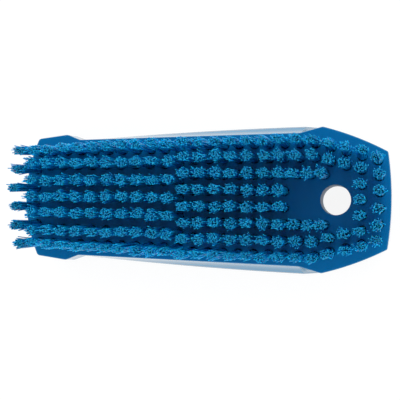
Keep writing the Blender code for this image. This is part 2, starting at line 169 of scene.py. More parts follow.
# How far use has bent a row's tips, at even steps from its first tuft to its last
BENT_TIPS = {
    "toe_row": ((-0.0001, -0.0014), (0.0001, -0.0010), (0.0001, -0.0007), (0.0009, -0.0007),
                (0.0004, -0.0003), (0.0003, -0.0002)),
    "front_row_1": ((-0.0008, -0.0023), (-0.0003, -0.0007), (-0.0002, -0.0002)),
    "front_row_2": ((-0.0003, -0.0001), (-0.0002, 0.0001)),
    "front_row_3": ((0.0, -0.0004), (0.0, -0.0003)),
    "front_row_4": ((0.0, -0.0004), (0.0, -0.0003)),
    "front_row_5": ((0.0001, -0.0002), (0.0001, 0.0001)),
    "front_row_6": ((0.0, -0.0006), (0.0, -0.0005)),
    "front_row_7": ((-0.0006, 0.0018), (-0.0003, 0.0003), (-0.0003, -0.0002)),
    "rear_row_1": ((0.0, -0.0012), (0.0, -0.0012), (0.0003, -0.0010), (0.0006, -0.0008),
                   (0.0004, -0.0011), (0.0006, 0.0001)),
    "rear_row_2": ((-0.0001, 0.0), (-0.0001, 0.0001)),
    "rear_row_3": ((-0.0001, -0.0001), (-0.0001, -0.0001)),
    "rear_row_4": ((-0.0001, -0.0002), (-0.0001, -0.0001)),
    "rear_row_5": ((0.0, -0.0003), (0.0, -0.0002)),
    "rear_row_6": ((0.0, -0.0003), (0.0, -0.0002)),
    "rear_row_7": ((-0.0001, 0.0), (-0.0001, 0.0002)),
    "rear_row_8": ((-0.0002, 0.0005), (0.0006, 0.0005), (0.0010, 0.0005)),
    "heel_inner_row": ((-0.0004, 0.0), (-0.0004, -0.0001)),
    "heel_outer_row": ((-0.0003, 0.0), (-0.0003, 0.0)),
}
WORN_ROWS = ("front_row_1", "front_row_7", "rear_row_1", "rear_row_8")
FIRST_COLUMN_X = TOE_X + FIRST_COLUMN_FROM_TOE
LAST_COLUMN_X = HEEL_X - LAST_COLUMN_FROM_HEEL
PITCH = (LAST_COLUMN_X - FIRST_COLUMN_X) / (COLUMNS - 1)
OUTER_RANK = (FRONT_ROWS - 1) // 2

# Fineness
CORNER_STEPS = 8
TOE_STEPS = 14
RUN_STEPS = 16
EDGE_STEPS = 4
WALL_STEPS = 8
BACK_STEPS = 10
HOLE_STEPS = 64
DRILL_STEPS = 20
FILAMENT_SIDES = 5
SMOOTH_ANGLE = math.radians(35)
FILAMENT_SMOOTH_ANGLE = math.radians(80)

# How a tuft grows; powers say how late on the way up a thing sets in, or how few filaments it takes
GOLDEN_ANGLE = math.pi * (3 - math.sqrt(5))
SPIN_JITTER = 0.5
HOLLOW_RANGE = (-0.10, 0.05)   # share of a tuft that is empty in its middle; draws below 0 leave it full
WIDEST_STRETCH = 0.22          # how much wider along the brush, and narrower across it, a tuft may be
OPENING_POWER = 1.4
LATE_POWER = 2.2
LOOSENESS_POWER = 4.0
TUFT_LEAN = 0.22               # of the radius at the mouth
CRIMP_TURN = 2.6 * math.pi
CRIMP_DEPTH = 0.45             # in filament radii
SHORTNESS_POWER = 2.0
WORN_ALONG = 2.5
WORN_ACROSS = 0.6
DROOP_ASIDE = 0.3              # sideways, for each 1 that it goes towards the toe
DROOP_POWER = 5.0
TINT_LOW = 0.69
TINT_RANGE = 0.95
TINT_POWER = 2.5

# Random draws of the tufts; a draw's place in the list, counted from 1, is its seed
DRAWS = ("tuft spin", "hollow", "stretch", "looseness", "tuft lean x", "tuft lean y", "lean x", "lean y",
         "crimp phase", "crimp heading", "shortness", "tint", "spin", "share", "worn x", "worn y", "droop")

# Where finishes and painted light change: up to the first value they are the one, and from the second on the
# other
# FLAT_EDGE: where the painted lighter wall colour gives way to the plastic's own colour
FLAT_EDGE = (0.5, 0.9)         # how level a face is, from 0 for upright to 1 for flat
# CUT_END_EDGE: where a filament's painted lighter side colour gives way to its cut end's colour
CUT_END_EDGE = (0.90, 1.0)     # of the way up a filament
CEILING_EDGE = (0.10, 0.55)    # of the way up to the zenith
OVERHEAD_EDGE = (0.2, 0.95)    # the same, for the light

# Floor, lamp and camera
FLOOR_HALF_SIDE = 3.0
FLOOR_GLOW = 0.90
FLOOR_SHADE = (0.12, 0.12, 0.12)
FLOOR_CLEAR_GAPS = 10          # in floor gaps, how near a face is when the floor is clear to it
KEY_PLACE = (0.15, 0.50, 0.70)
KEY_SIDE = 0.6
NEAR_CLIP_SHARE = 0.05         # of the camera's distance
WHITE = (1.0, 1.0, 1.0)


class BlockSettings(bpy.types.PropertyGroup):
    """Sizes and finish of the grip block."""

    edge_round: FloatProperty(
        name="Edge Rounding", description="Radius where the walls meet the bristle side",
        default=0.0007, unit="LENGTH")
    hole_diameter: FloatProperty(
        name="Hanging Hole", description="Diameter of the hanging hole", default=0.0130, unit="LENGTH")
    hole_rim: FloatProperty(
        name="Hole Rim", description="Rounding of the hanging hole's mouths", default=0.0004, unit="LENGTH")
    drill_diameter: FloatProperty(
        name="Tuft Hole", description="Diameter of the hole that a tuft stands in", default=0.0042,
        unit="LENGTH")
    drill_rim: FloatProperty(
        name="Tuft Hole Rim", description="Bevel round the mouth of a tuft hole", default=0.00015,
        unit="LENGTH")
    colour: FloatVectorProperty(
        name="Colour", description="Colour of the moulded plastic", default=(0.0, 0.139, 0.35),
        subtype="COLOR", min=0, max=1)
    # Painted light: the upright walls get a lighter, greener copy of the plastic's colour, standing in for
    # the light that falls on them from the sides; the real plastic is one colour
    side_lit_wall_colour: FloatVectorProperty(
        name="Wall Colour", description="Colour of the upright walls, painted lighter for the side light they catch",
        default=(0.0, 0.19, 0.37), subtype="COLOR", min=0, max=1)
    roughness: FloatProperty(
        name="Roughness", description="Roughness of the moulded plastic", default=0.10, min=0, max=1)
    bore_roughness: FloatProperty(
        name="Bore Roughness", description="Roughness of the hanging hole's wall, which is duller",
        default=0.45, min=0, max=1)
    wall_coat: FloatProperty(
        name="Wall Gloss", description="Weight of the extra gloss on the upright walls", default=0.35,
        min=0, max=1)


class BristleSettings(bpy.types.PropertyGroup):
    """Sizes and finish of the bristle tufts."""

    filaments: IntProperty(
        name="Filaments", description="Filaments in one tuft", default=82, min=1)
    worn_filaments: IntProperty(
        name="Outer Filaments", description="Filaments in one tuft of the outer rows", default=96, min=1)
    filament_diameter: FloatProperty(
        name="Filament", description="Diameter of one filament", default=0.00038, unit="LENGTH")
    root_spread: FloatProperty(
        name="Root Radius", description="Radius of a tuft at its staple", default=0.0013, unit="LENGTH")
    mouth_spread: FloatProperty(
        name="Mouth Radius", description="Radius of a tuft at the mouth of its hole", default=0.00175,
        unit="LENGTH")
    toe_mouth_spread: FloatProperty(
        name="Toe Mouth Radius", description="Radius of a tuft of the toe row at the mouth of its hole",
        default=0.0019, unit="LENGTH")
    tip_spread: FloatProperty(
        name="Tip Radius", description="Radius of a tuft at its tip", default=0.0021, unit="LENGTH")
    toe_tip_spread: FloatProperty(
        name="Toe Tip Radius", description="Radius of a tuft of the toe row at its tip", default=0.0021,
        unit="LENGTH")
    # Painted shade: the toe row is painted darker, standing in for the shade on the tufts that stand out past
    # the toe
    toe_painted_shade: FloatProperty(
        name="Toe Painted Shade", description="How light the tufts of the toe row are against the others",
        default=0.75, min=0)
    stray_spread: FloatProperty(
        name="Strays", description="How far the loosest filaments stand out of a tuft", default=0.0014,
        unit="LENGTH")
    tip_unevenness: FloatProperty(
        name="Unevenness", description="How far the shortest filaments stay below the others",
        default=0.0007, unit="LENGTH")
    worn_spread: FloatProperty(
        name="Wear", description="How far wear has bent filaments of the outer rows apart", default=0.0005,
        unit="LENGTH")
    worn_droop: FloatProperty(
        name="Droop", description="How far wear has bent the tips of the outer rows towards the toe",
        default=0.0014, unit="LENGTH")
    worn_unevenness: FloatProperty(
        name="Worn Unevenness", description="How much shorter still the filaments of the outer rows may be",
        default=0.0010, unit="LENGTH")
    # Painted light: the sides are set lighter than the cut ends, to make up for the shade deep among the
    # filaments; a real filament is one colour end to end
    shade_lifted_side_colour: FloatVectorProperty(
        name="Side Colour", description="Colour along a filament", default=(0.0, 0.44, 0.97),
        subtype="COLOR", min=0, max=1)
    tip_colour: FloatVectorProperty(
        name="Tip Colour", description="Colour at a filament's cut end", default=(0.004, 0.345, 0.74),
        subtype="COLOR", min=0, max=1)


class StapleSettings(bpy.types.PropertyGroup):
    """Sizes and finish of the staples that pin the tufts down."""

    width: FloatProperty(
        name="Width", description="Length of flat wire in one staple", default=0.0036, unit="LENGTH")
    thickness: FloatProperty(
        name="Thickness", description="Thickness of the flat wire", default=0.0005, unit="LENGTH")
    edge_bevel: FloatProperty(
        name="Edge Bevel", description="Rounding of the wire's edges", default=0.00008, unit="LENGTH")
    colour: FloatVectorProperty(
        name="Colour", description="Colour of the steel", default=(0.60, 0.61, 0.62), subtype="COLOR",
        min=0, max=1)


class StageSettings(bpy.types.PropertyGroup):
    """Camera and light."""

    distance: FloatProperty(
        name="Distance", description="From the camera to the bristle tips", default=0.439, unit="LENGTH")
    focal_length: FloatProperty(
        name="Focal Length", description="Focal length in millimetres", default=95.88, unit="CAMERA")
    aim: FloatVectorProperty(
        name="Aim", description="Point among the bristle tips that the camera looks at",
        default=(0.00353, -0.00118), size=2, unit="LENGTH")
    heel_tilt: FloatProperty(
        name="Tilt to Heel", description="How far the camera stands over towards the heel",
        default=math.radians(10.11), subtype="ANGLE")
    side_tilt: FloatProperty(
        name="Tilt to Side", description="How far the camera stands over towards +Y",
        default=math.radians(-1.13), subtype="ANGLE")
    roll: FloatProperty(
        name="Roll", description="Turn of the picture, clockwise", default=math.radians(0.81),
        subtype="ANGLE")
    surround: FloatProperty(
        name="Surround", description="Strength of the white surround's light near the horizon", default=1.18,
        min=0)
    overhead: FloatProperty(
        name="Overhead", description="Strength of the surround's light from straight above", default=1.05,
        min=0)
    zenith: FloatProperty(
        name="Zenith", description="How bright the dark ceiling looks in reflections", default=0.02, min=0)
    key_power: FloatProperty(
        name="Key Power", description="Power of the main soft lamp, in watts", default=1.4, min=0)
    floor_gap: FloatProperty(
        name="Floor Gap", description="How far the floor stays below the brush's back, so that no faces meet",
        default=0.0001, unit="LENGTH")
    floor_colour: FloatVectorProperty(
        name="Floor Colour", description="Colour of the floor", default=(0.80, 0.80, 0.80),
        subtype="COLOR", min=0, max=1)


class HandBrushSettings(bpy.types.PropertyGroup):
    """All settings of the brush and its stage."""

    block: PointerProperty(type=BlockSettings)
    bristles: PointerProperty(type=BristleSettings)
    staples: PointerProperty(type=StapleSettings)
    stage: PointerProperty(type=StageSettings)


# Node trees

class Graph:
    """Adds nodes to a tree; an input takes a value or another node's output."""

    def __init__(self, tree):
        self.tree = tree

    def add(self, kind, inputs=None, **settings):
        node = self.tree.nodes.new(kind)
        for key, value in settings.items():
            setattr(node, key, value)
        self.feed_all(node.inputs, inputs or {})
        return node

    def find(self, sockets, key):
        if isinstance(key, int):
            return sockets[key]
        return next(socket for socket in sockets if socket.name == key and socket.enabled)

    def feed(self, socket, value):
        if isinstance(value, bpy.types.NodeSocket):
            self.tree.links.new(value, socket)
        else:
            socket.default_value = value

    def feed_all(self, sockets, values):
        for key, value in values.items():
            self.feed(self.find(sockets, key), value)

    def math(self, operation, *values, clamp=False):
        inputs = dict(enumerate(values))
        return self.add("ShaderNodeMath", inputs, operation=operation, use_clamp=clamp).outputs[0]

    def product(self, first, *others):
        for other in others:
            first = self.math("MULTIPLY", first, other)
        return first

    def vector(self, operation, *values):
        inputs = dict(enumerate(values))
        return self.add("ShaderNodeVectorMath", inputs, operation=operation).outputs[0]

    def scaled(self, vector, factor):
        node = self.add("ShaderNodeVectorMath", {"Vector": vector, "Scale": factor}, operation="SCALE")
        return node.outputs[0]

    def combine(self, x=0.0, y=0.0, z=0.0):
        return self.add("ShaderNodeCombineXYZ", {"X": x, "Y": y, "Z": z}).outputs[0]

    def ramp(self, value, low, high):
        """0 below low and 1 above high, smooth in between."""
        node = self.add("ShaderNodeMapRange", {"Value": value, "From Min": low, "From Max": high},
                        interpolation_type="SMOOTHSTEP")
        return node.outputs[0]

    def mix_colour(self, share, first, second):
        node = self.add("ShaderNodeMix", {"Factor": share, "A": first, "B": second}, data_type="RGBA")
        return self.find(node.outputs, "Result")

    def random(self, low, high, identity, seed):
        values = {"Min": low, "Max": high, "ID": identity, "Seed": seed}
        node = self.add("FunctionNodeRandomValue", values, data_type="FLOAT")
        return self.find(node.outputs, "Value")

    def read(self, name, kind):
        """A named attribute of the points."""
        node = self.add("GeometryNodeInputNamedAttribute", {"Name": name}, data_type=kind)
        return self.find(node.outputs, "Attribute")

    def store(self, geometry, name, value):
        """Keeps a number of every point under a name, and returns the geometry."""
        values = {"Geometry": geometry, "Name": name, "Value": value}
        node = self.add("GeometryNodeStoreNamedAttribute", values, data_type="FLOAT", domain="POINT")
        return node.outputs[0]

    def dressed(self, geometry, material):
        """The geometry with its instances made real and the material on it."""
        realized = self.add("GeometryNodeRealizeInstances", {"Geometry": geometry}).outputs[0]
        return self.add("GeometryNodeSetMaterial", {"Geometry": realized, "Material": material}).outputs[0]


def new_group(name, kind, inputs, outputs):
    """A node group; returns its graph, what its inputs bring in and the sockets of its outputs."""
    tree = bpy.data.node_groups.new(name, kind)
    for label, socket_type, default in inputs:
        socket = tree.interface.new_socket(label, in_out="INPUT", socket_type=socket_type)
        if default is not None:
            socket.default_value = default
    for label, socket_type in outputs:
        tree.interface.new_socket(label, in_out="OUTPUT", socket_type=socket_type)
    graph = Graph(tree)
    group_in = graph.add("NodeGroupInput")
    group_out = graph.add("NodeGroupOutput")
    return graph, group_in.outputs, group_out.inputs


def opaque(colour):
    return (*colour, 1.0)


def surface_variation_group():
    """Slight variation for the finishes: drifts of colour and gloss, and the height of a fine uneven surface.
    """
    graph, inputs, outputs = new_group(
        "surface_variation", "ShaderNodeTree",
        [("Colour", "NodeSocketColor", (0.5, 0.5, 0.5, 1.0)), ("Vector", "NodeSocketVector", None),
         ("Drift Scale", "NodeSocketFloat", 40.0), ("Grain Scale", "NodeSocketFloat", 1500.0),
         ("Drift", "NodeSocketFloat", 0.1), ("Roughness", "NodeSocketFloat", 0.3),
         ("Roughness Drift", "NodeSocketFloat", 0.05)],
        [("Colour", "NodeSocketColor"), ("Roughness", "NodeSocketFloat"), ("Height", "NodeSocketFloat")])
    drift, grain = (
        graph.add("ShaderNodeTexNoise", {"Vector": inputs["Vector"], "Scale": inputs[scale],
                                         "Detail": detail}).outputs[0]
        for scale, detail in (("Drift Scale", 3.0), ("Grain Scale", 2.0)))
    centred = graph.math("SUBTRACT", drift, 0.5)
    brightness = graph.math("MULTIPLY_ADD", centred, inputs["Drift"], 1.0)
    tone = graph.combine(brightness, brightness, brightness)
    colour = graph.vector("MULTIPLY", inputs["Colour"], tone)
    roughness = graph.math("MULTIPLY_ADD", centred, inputs["Roughness Drift"], inputs["Roughness"])
    graph.feed(outputs["Colour"], colour)
    graph.feed(outputs["Roughness"], roughness)
    graph.feed(outputs["Height"], grain)
    return graph.tree


def new_material(name):
    material = bpy.data.materials.new(name)
    material.use_nodes = True
    graph = Graph(material.node_tree)
    return material, graph, material.node_tree.nodes["Principled BSDF"]


def place_variation(graph, values):
    """Puts the shared variation in a material, on the piece's own coordinates."""
    where = graph.add("ShaderNodeTexCoord").outputs["Object"]
    group = graph.add("ShaderNodeGroup", node_tree=bpy.data.node_groups["surface_variation"])
    graph.feed_all(group.inputs, {"Vector": where, **values})
    return group.outputs


def moulded_plastic(settings):
    """Glossy on the bristle side; the walls are painted a lighter colour for the light that falls on them
    from the sides, and have an extra coat; the bore is duller.
    """
    material, graph, shader = new_material("moulded_blue_plastic")
    facing = graph.add("ShaderNodeNewGeometry").outputs["True Normal"]
    level = graph.math("ABSOLUTE", graph.add("ShaderNodeSeparateXYZ", {"Vector": facing}).outputs["Z"])
    flat = graph.ramp(level, *FLAT_EDGE)
    # Painted light: the lighter wall colour on upright faces, the plastic's own colour on flat ones
    colour = graph.mix_colour(flat, opaque(settings.side_lit_wall_colour), opaque(settings.colour))
    where = graph.add("ShaderNodeTexCoord").outputs["Object"]
    in_plan = graph.vector("MULTIPLY", graph.vector("SUBTRACT", where, (HOLE_X, 0.0, 0.0)), (1.0, 1.0, 0.0))
    from_axis = graph.add("ShaderNodeVectorMath", {0: in_plan}, operation="LENGTH").outputs["Value"]
    bore_radius = settings.hole_diameter / 2
    outside_bore = graph.ramp(from_axis, bore_radius, bore_radius + settings.hole_rim)
    roughness = graph.math("MULTIPLY_ADD", outside_bore, settings.roughness - settings.bore_roughness,
                           settings.bore_roughness)
    varied = place_variation(graph, {
        "Colour": colour, "Drift Scale": 28.0, "Grain Scale": 900.0, "Drift": 0.10,
        "Roughness": roughness, "Roughness Drift": 0.04})
    upright = graph.math("SUBTRACT", 1.0, flat)
    bump = graph.add("ShaderNodeBump", {"Strength": 0.012, "Distance": 0.0002, "Height": varied["Height"]})
    graph.feed_all(shader.inputs, {
        "Base Color": varied["Colour"], "Roughness": varied["Roughness"], "IOR": 1.52,
        "Coat Weight": graph.product(upright, outside_bore, settings.wall_coat), "Coat Roughness": 0.05,
        "Normal": bump.outputs[0]})
    return material


def bristle_filament(settings):
    """Filaments are painted a lighter colour along their sides than at their cut ends, to make up for the
    shade deep among them, and no two are quite alike.
    """
    material, graph, shader = new_material("blue_filament")
    climb = graph.add("ShaderNodeAttribute", attribute_name="climb").outputs["Fac"]
    tint = graph.add("ShaderNodeAttribute", attribute_name="tint").outputs["Fac"]
    # Painted light: the lighter colour on the sides, the darker one at the cut ends
    at_tip = graph.ramp(climb, *CUT_END_EDGE)
    colour = graph.mix_colour(at_tip, opaque(settings.shade_lifted_side_colour), opaque(settings.tip_colour))
    varied = place_variation(graph, {
        "Colour": colour, "Drift Scale": 90.0, "Grain Scale": 2500.0, "Drift": 0.25, "Roughness": 0.38,
        "Roughness Drift": 0.15})
    # The tint attribute is each filament's random tone, and for the toe row also its painted shade
    tone = graph.combine(tint, tint, tint)
    graph.feed_all(shader.inputs, {
        "Base Color": graph.vector("MULTIPLY", varied["Colour"], tone), "Roughness": varied["Roughness"],
        "IOR": 1.50, "Specular IOR Level": 0.25, "Subsurface Weight": 0.6,
        "Subsurface Radius": (0.3, 0.8, 1.0), "Subsurface Scale": 0.0012})
    return material


def staple_steel(settings):
    material, graph, shader = new_material("staple_steel")
    varied = place_variation(graph, {
        "Colour": opaque(settings.colour), "Drift Scale": 400.0, "Grain Scale": 6000.0, "Drift": 0.2,
        "Roughness": 0.30, "Roughness Drift": 0.2})
    graph.feed_all(shader.inputs, {
        "Base Color": varied["Colour"], "Roughness": varied["Roughness"], "Metallic": 1.0})
    return material


# Objects

def link_object(name, data):
    obj = bpy.data.objects.new(name, data)
    bpy.context.scene.collection.objects.link(obj)
    return obj


def mesh_object(name, bm):
    mesh = bpy.data.meshes.new(name)
    bm.to_mesh(mesh)
    bm.free()
    return link_object(name, mesh)


def baked(name, source):
    """A plain mesh object from what another object's modifiers make; the other object is removed."""
    bpy.context.view_layer.update()
    depsgraph = bpy.context.evaluated_depsgraph_get()
    mesh = bpy.data.meshes.new_from_object(source.evaluated_get(depsgraph))
    old_mesh = source.data
    bpy.data.objects.remove(source, do_unlink=True)
    bpy.data.meshes.remove(old_mesh)
    mesh.name = name
    return link_object(name, mesh)


def place_piece(piece, slot, *nodes):
    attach(piece, BODY)
    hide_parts(*nodes)


# Outlines of the block

def fillet(before, corner, after, radius):
    """Points of an arc that rounds one corner of an outline."""
    back = (before - corner).normalized()
    ahead = (after - corner).normalized()
    half_angle = back.angle(ahead) / 2
    centre = corner + (back + ahead).normalized() * (radius / math.sin(half_angle))
    start = corner + back * (radius / math.tan(half_angle)) - centre
    end = corner + ahead * (radius / math.tan(half_angle)) - centre
    turn = start.angle(end)
    points = []
    for step in range(CORNER_STEPS + 1):
        share = step / CORNER_STEPS
        weight_start = math.sin((1 - share) * turn) / math.sin(turn)
        weight_end = math.sin(share * turn) / math.sin(turn)
        points.append(centre + start * weight_start + end * weight_end)
    return points


def bulged_run(start, end, bulge):
    """Points between two corners, on a shallow arc that stands out to the left of the way there."""
    along = end - start
    side = Vector((-along.y, along.x)).normalized()
    points = []
    for step in range(1, RUN_STEPS):
        share = step / RUN_STEPS
        points.append(start + along * share + side * (4 * bulge * share * (1 - share)))
    return points


def end_curve(middle_x, fall_back, half_width, shares):
    """Points of the toe's or the heel's curve, at shares of the way from its middle to its corner."""
    return [Vector((middle_x + fall_back * share ** 2, half_width * share)) for share in shares]


def half_outline(flare):
    """Half of the block's outline on the +Y side, from the toe's middle to the heel's middle.

    The flare is 0 at the bristle side and 1 at the belly.
    """
    draft = WALL_DRAFT * flare
    heel_draft = HEEL_DRAFT * flare
    toe_middle = Vector((TOE_X + WALL_DRAFT - draft, 0))
    toe_corner = Vector((toe_middle.x + TOE_BULGE, TOE_HALF_WIDTH + draft))
    ear = Vector((TOE_X + EAR_FROM_TOE, GRIP_TOE_HALF_WIDTH + EAR_OUT + draft))
    ear_foot = Vector((TOE_X + EAR_FOOT_FROM_TOE, GRIP_TOE_HALF_WIDTH + HIP_TOE_OUT * flare))
    shoulder_foot = Vector((HEEL_X - SHOULDER_FOOT_FROM_HEEL + HIP_RUNS_ON * flare,
                            GRIP_HEEL_HALF_WIDTH + HIP_HEEL_OUT * flare))
    shoulder = Vector((HEEL_X - SHOULDER_FROM_HEEL, SHOULDER_HALF_WIDTH + heel_draft))
    heel_middle = Vector((HEEL_X - HEEL_DRAFT + heel_draft, 0))
    heel_corner = Vector((heel_middle.x - HEEL_BULGE, HEEL_HALF_WIDTH + heel_draft))

    toe_shares = [step / TOE_STEPS for step in range(TOE_STEPS)]
    toe_run = end_curve(toe_middle.x, TOE_BULGE, toe_corner.y, toe_shares)
    heel_shares = [1 - step / RUN_STEPS for step in range(1, RUN_STEPS + 1)]
    heel_run = end_curve(heel_middle.x, -HEEL_BULGE, heel_corner.y, heel_shares)
    grip_run = bulged_run(ear_foot, shoulder_foot, HIP_BULGE * flare)
    slant_run = bulged_run(shoulder, heel_corner, SLANT_BULGE)

    points = list(toe_run)
    points += fillet(toe_run[-1], toe_corner, ear, TOE_CORNER_RADIUS)
    points += fillet(toe_corner, ear, ear_foot, EAR_RADIUS)
    points += fillet(ear, ear_foot, grip_run[0], EAR_FOOT_RADIUS)
    points += grip_run
    points += fillet(grip_run[-1], shoulder_foot, shoulder, SHOULDER_FOOT_RADIUS)
    points += fillet(shoulder_foot, shoulder, slant_run[0], SHOULDER_RADIUS)
    points += slant_run
    points += fillet(slant_run[-1], heel_corner, heel_run[0], HEEL_CORNER_RADIUS)
    points += heel_run
    return points


def ring_at(flare, inset, height):
    """One level of the block all round: its outline drawn in towards the middle, at a height."""
    length_share = 1 - inset / HEEL_X
    width_share = 1 - inset / SHOULDER_HALF_WIDTH
    half = [Vector((p.x * length_share, p.y * width_share, height)) for p in half_outline(flare)]
    other_half = [Vector((p.x, -p.y, p.z)) for p in half[-2:0:-1]]
    return half + other_half


def quarter_round(radius):
    """How far from the wall and from the face each point of a rounded edge lies, from face to wall."""
    angles = [math.pi / 2 * step / EDGE_STEPS for step in range(EDGE_STEPS + 1)]
    return [(radius * (1 - math.sin(angle)), radius * (1 - math.cos(angle))) for angle in angles]


def block_rings(edge_round):
    """The block's levels, from the bristle side down to the back."""
    rings = [ring_at(0, inset, FACE_Z - drop) for inset, drop in quarter_round(edge_round)]
    wall_top = FACE_Z - edge_round
    for step in range(1, WALL_STEPS):
        share = step / WALL_STEPS
        rings.append(ring_at(share ** WALL_SCOOP, 0, wall_top + (BELLY_HEIGHT - wall_top) * share))
    for step in range(1, BACK_STEPS + 1):
        angle = math.pi / 2 * (step - 1) / (BACK_STEPS - 1)
        inset = BACK_ROUND * (1 - math.cos(angle))
        rings.append(ring_at(1, inset, BELLY_HEIGHT * (1 - math.sin(angle))))
    return rings


def skin_rings(bm, rings):
    """A closed skin over rings of points: a band of faces from each to the next, and a face at both ends."""
    rings = [[bm.verts.new(point) for point in ring] for ring in rings]
    count = len(rings[0])
    for first, second in zip(rings, rings[1:]):
        for i in range(count):
            after = (i + 1) % count
            bm.faces.new((first[i], first[after], second[after], second[i]))
    bm.faces.new(rings[0][::-1])
    bm.faces.new(rings[-1])


def make_block_body(settings):
    bm = bmesh.new()
    skin_rings(bm, block_rings(settings.edge_round))
    bmesh.ops.recalc_face_normals(bm, faces=bm.faces)
    return mesh_object("block_body", bm)


def add_turned(bm, centre, profile, steps):
    """A closed turned shape; its profile holds (radius, height) pairs from the bottom up."""
    angles = [math.tau * step / steps for step in range(steps)]
    skin_rings(bm, [[(centre.x + radius * math.cos(angle), centre.y + radius * math.sin(angle), height)
                     for angle in angles] for radius, height in profile])


def hanging_hole_profile(settings):
    """Straight through, with both mouths rounded out."""
    radius = settings.hole_diameter / 2
    rim = settings.hole_rim
    overrun = FACE_Z - STAPLE_HIGH.z
    curve = quarter_round(rim)
    lower = [(radius + out, height) for out, height in curve]
    upper = [(radius + out, FACE_Z - height) for out, height in reversed(curve)]
    below = [(radius + rim, -overrun)]
    above = [(radius + rim, FACE_Z + overrun)]
    return below + lower + upper + above


def drill_profile(settings):
    """A blind hole down to the foot of the staples, with a small bevel at its mouth."""
    radius = settings.drill_diameter / 2
    rim = settings.drill_rim
    overrun = FACE_Z - STAPLE_HIGH.z
    return [(radius, STAPLE_LOW.z), (radius, FACE_Z - rim), (radius + rim, FACE_Z),
            (radius + rim, FACE_Z + overrun)]


class HANDBRUSH_OT_add_block(bpy.types.Operator):
    """Moulds the grip block, with its hanging hole and the holes that the tufts stand in"""

    bl_idname = "handbrush.add_block"
    bl_label = "Add Grip Block"

    def execute(self, context):
        settings = context.scene.hand_brush.block
        body = make_block_body(settings)
        bm = bmesh.new()
        add_turned(bm, Vector((HOLE_X, 0)), hanging_hole_profile(settings), HOLE_STEPS)
        for tufts in tuft_rows().values():
            for root, _ in tufts:
                add_turned(bm, root, drill_profile(settings), DRILL_STEPS)
        cutter = mesh_object("block_cutter", bm)
        boolean = body.modifiers.new("Holes", "BOOLEAN")
        boolean.operation = "DIFFERENCE"
        boolean.solver = "EXACT"
        boolean.object = cutter
        block = baked("grip_block", body)
        bpy.data.objects.remove(cutter, do_unlink=True)
        block.data.shade_smooth()
        block.data.set_sharp_from_angle(angle=SMOOTH_ANGLE)
        weighted = block.modifiers.new("Weighted Normal", "WEIGHTED_NORMAL")
        weighted.keep_sharp = True
        block.data.materials.append(moulded_plastic(settings))
        place_piece(block, "block", "block")
        return {"FINISHED"}


# Where the tufts stand: each row is a list of (root, tip offset)

def column_x(column):
    return FIRST_COLUMN_X + PITCH * column


def grip_half_width(x):
    """Half width of the bristle side along the grip, run on straight past both of its ends."""
    start = TOE_X + EAR_FOOT_FROM_TOE
    end = HEEL_X - SHOULDER_FOOT_FROM_HEEL
    share = (x - start) / (end - start)
    return GRIP_TOE_HALF_WIDTH + (GRIP_HEEL_HALF_WIDTH - GRIP_TOE_HALF_WIDTH) * share


def outer_lean(rank):
    return Vector((0, math.copysign(OUTER_SPREAD, rank)))


def outermost_y(rank, neighbour_y, step):
    return math.copysign(abs(neighbour_y) + step, rank)


def front_row(rank):
    """One of the seven rows of the front half; rank runs from 3 at +Y to -3."""
    first_x = FIRST_COLUMN_X + ROW_BULGE * (rank / OUTER_RANK) ** 4
    last_x = column_x(FRONT_COLUMNS - 1)
    tufts = []
    for column in range(FRONT_COLUMNS):
        x = first_x + (last_x - first_x) * column / (FRONT_COLUMNS - 1)
        spacing = FRONT_SPACING_SHARE * grip_half_width(x)
        if abs(rank) == OUTER_RANK:
            y = outermost_y(rank, (OUTER_RANK - 1) * spacing, OUTER_FRONT_STEP)
            tufts.append((Vector((x, y)), outer_lean(rank)))
        else:
            tufts.append((Vector((x, rank * spacing)), Vector((0, 0))))
    return tufts


def straight_rear_run(rank, last_column):
    """Roots from the middle of the brush up to a column, in line with the grip."""
    xs = [column_x(column) for column in range(FRONT_COLUMNS, last_column + 1)]
    return [Vector((x, rank * REAR_SPACING_SHARE * grip_half_width(x))) for x in xs]


def run_between(start, end, count):
    """Evenly spaced roots from a start up to an end, which itself stays free."""
    return [start + (end - start) * step / count for step in range(count)]


def outer_rear_row(rank):
    """The outermost row, which turns in at the shoulder towards the end of the heel's outer row."""
    neighbours = straight_rear_run(abs(rank) - 1, BEND_COLUMN)
    roots = [Vector((n.x, outermost_y(rank, n.y, OUTER_REAR_STEP))) for n in neighbours]
    end = Vector((column_x(COLUMNS - 1), math.copysign(HEEL_HALF_WIDTH - HEEL_OUTER_FROM_CORNER, rank)))
    roots += run_between(roots[-1], end, COLUMNS - 1 - BEND_COLUMN)[1:]
    return [(root, outer_lean(rank)) for root in roots]


def rear_row(rank):
    """One of the eight rows of the rear half; rank runs from 3.5 at +Y to -3.5."""
    inward_steps = FRONT_ROWS / 2 - abs(rank)
    if inward_steps == 0:
        return outer_rear_row(rank)
    if inward_steps == 1:
        roots = straight_rear_run(rank, BEND_COLUMN)
        end_y = math.copysign(HEEL_HALF_WIDTH - HEEL_INNER_FROM_CORNER, rank)
        end = Vector((column_x(HEEL_INNER_COLUMN), end_y))
        roots += run_between(roots[-1], end, HEEL_INNER_COLUMN - BEND_COLUMN)[1:]
    else:
        roots = straight_rear_run(rank, FRONT_COLUMNS + INNER_COLUMNS - 1)
    if inward_steps == 2:
        step = (roots[-1] - roots[-2]) * CLOSE_PITCH_SHARE
        roots += [roots[-1] + step * count for count in range(1, CLOSE_TUFTS + 1)]
    return [(root, Vector((0, 0))) for root in roots]


def cross_row(middle_x, fall_back, end_y, count, reach):
    """A row across the brush; its ends may fall back from its middle, as the toe's curve does."""
    tufts = []
    for index in range(count):
        side_share = 1 - 2 * index / (count - 1)
        root = Vector((middle_x + fall_back * side_share ** 2, end_y * side_share))
        tufts.append((root, Vector((reach, 0))))
    return tufts


def bend_at(bends, share):
    """The bend at a share of the way through a list of bends."""
    place = share * (len(bends) - 1)
    step = min(int(place), len(bends) - 2)
    return Vector(bends[step]).lerp(Vector(bends[step + 1]), place - step)


